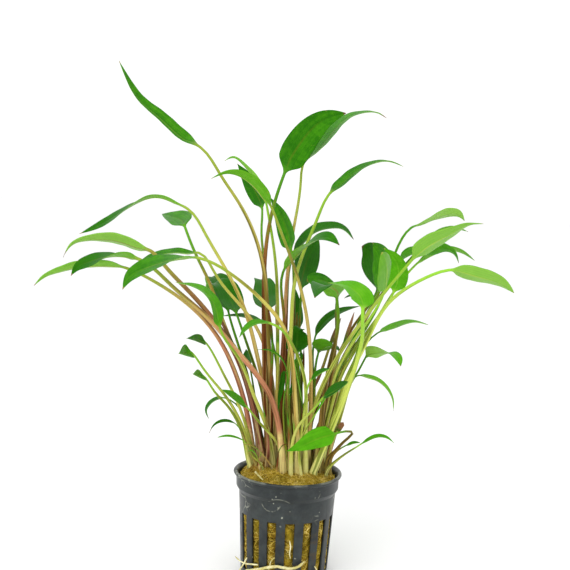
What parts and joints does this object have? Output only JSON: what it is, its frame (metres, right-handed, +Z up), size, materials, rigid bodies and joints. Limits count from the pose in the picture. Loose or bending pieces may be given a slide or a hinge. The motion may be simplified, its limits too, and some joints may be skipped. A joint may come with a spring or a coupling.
{
  "type": "potted cryptocoryne",
  "caption": "Leafy aquarium plant with long arching petioles and lance-shaped blades, rooted in a rock wool plug in a slotted black net pot.",
  "frame": {"origin": "centre of the pot's underside, on the surface that the pot stands on", "axes": "+Z up along the pot's axis; -Y towards the plant's front, as the picture shows it; +X to the right in that view"},
  "size_m": [0.2232, 0.1204, 0.2424],
  "materials": {
    "pot": "satin charcoal plastic",
    "rock_wool": "matte fibres",
    "root": "matte, damp",
    "leaf_green": "satin leaf",
    "leaf_lime": "satin leaf",
    "leaf_olive": "satin leaf",
    "leaf_pink": "satin leaf",
    "leaf_purple": "satin leaf",
    "leaf_red": "satin leaf",
    "leaf_tan": "satin leaf"
  },
  "bodies": {
    "root": {"pot": "pot", "rock_wool": "rock_wool", "root_front": "root", "root_left_upper": "root", "root_left_lower": "root", "root_slot": "root", "leaf_01": "leaf_tan", "leaf_02": "leaf_red", "leaf_03": "leaf_pink", "leaf_04": "leaf_lime", "leaf_05": "leaf_tan", "leaf_06": "leaf_olive", "leaf_07": "leaf_purple", "leaf_08": "leaf_pink", "leaf_09": "leaf_pink", "leaf_10": "leaf_tan", "leaf_11": "leaf_tan", "leaf_12": "leaf_lime", "leaf_13": "leaf_green", "leaf_14": "leaf_green", "leaf_15": "leaf_olive", "leaf_16": "leaf_lime", "leaf_17": "leaf_green", "leaf_18": "leaf_tan", "leaf_19": "leaf_olive", "leaf_20": "leaf_lime", "leaf_21": "leaf_olive", "leaf_22": "leaf_red", "leaf_23": "leaf_red", "leaf_24": "leaf_red", "leaf_25": "leaf_lime", "leaf_26": "leaf_olive", "leaf_27": "leaf_green", "leaf_28": "leaf_red", "leaf_29": "leaf_green", "leaf_30": "leaf_lime", "leaf_31": "leaf_lime", "leaf_32": "leaf_green", "leaf_33": "leaf_lime", "leaf_34": "leaf_olive", "leaf_35": "leaf_lime", "leaf_36": "leaf_olive", "leaf_37": "leaf_lime", "leaf_38": "leaf_green", "leaf_39": "leaf_green", "leaf_40": "leaf_olive", "leaf_41": "leaf_lime", "leaf_42": "leaf_lime", "leaf_43": "leaf_olive", "leaf_44": "leaf_lime", "leaf_45": "leaf_olive", "leaf_46": "leaf_lime", "leaf_47": "leaf_lime", "leaf_48": "leaf_lime", "leaf_49": "leaf_lime", "leaf_50": "leaf_green", "leaf_51": "leaf_green", "leaf_52": "leaf_green", "leaf_53": "leaf_green", "leaf_54": "leaf_green"}
  },
  "joints": []
}
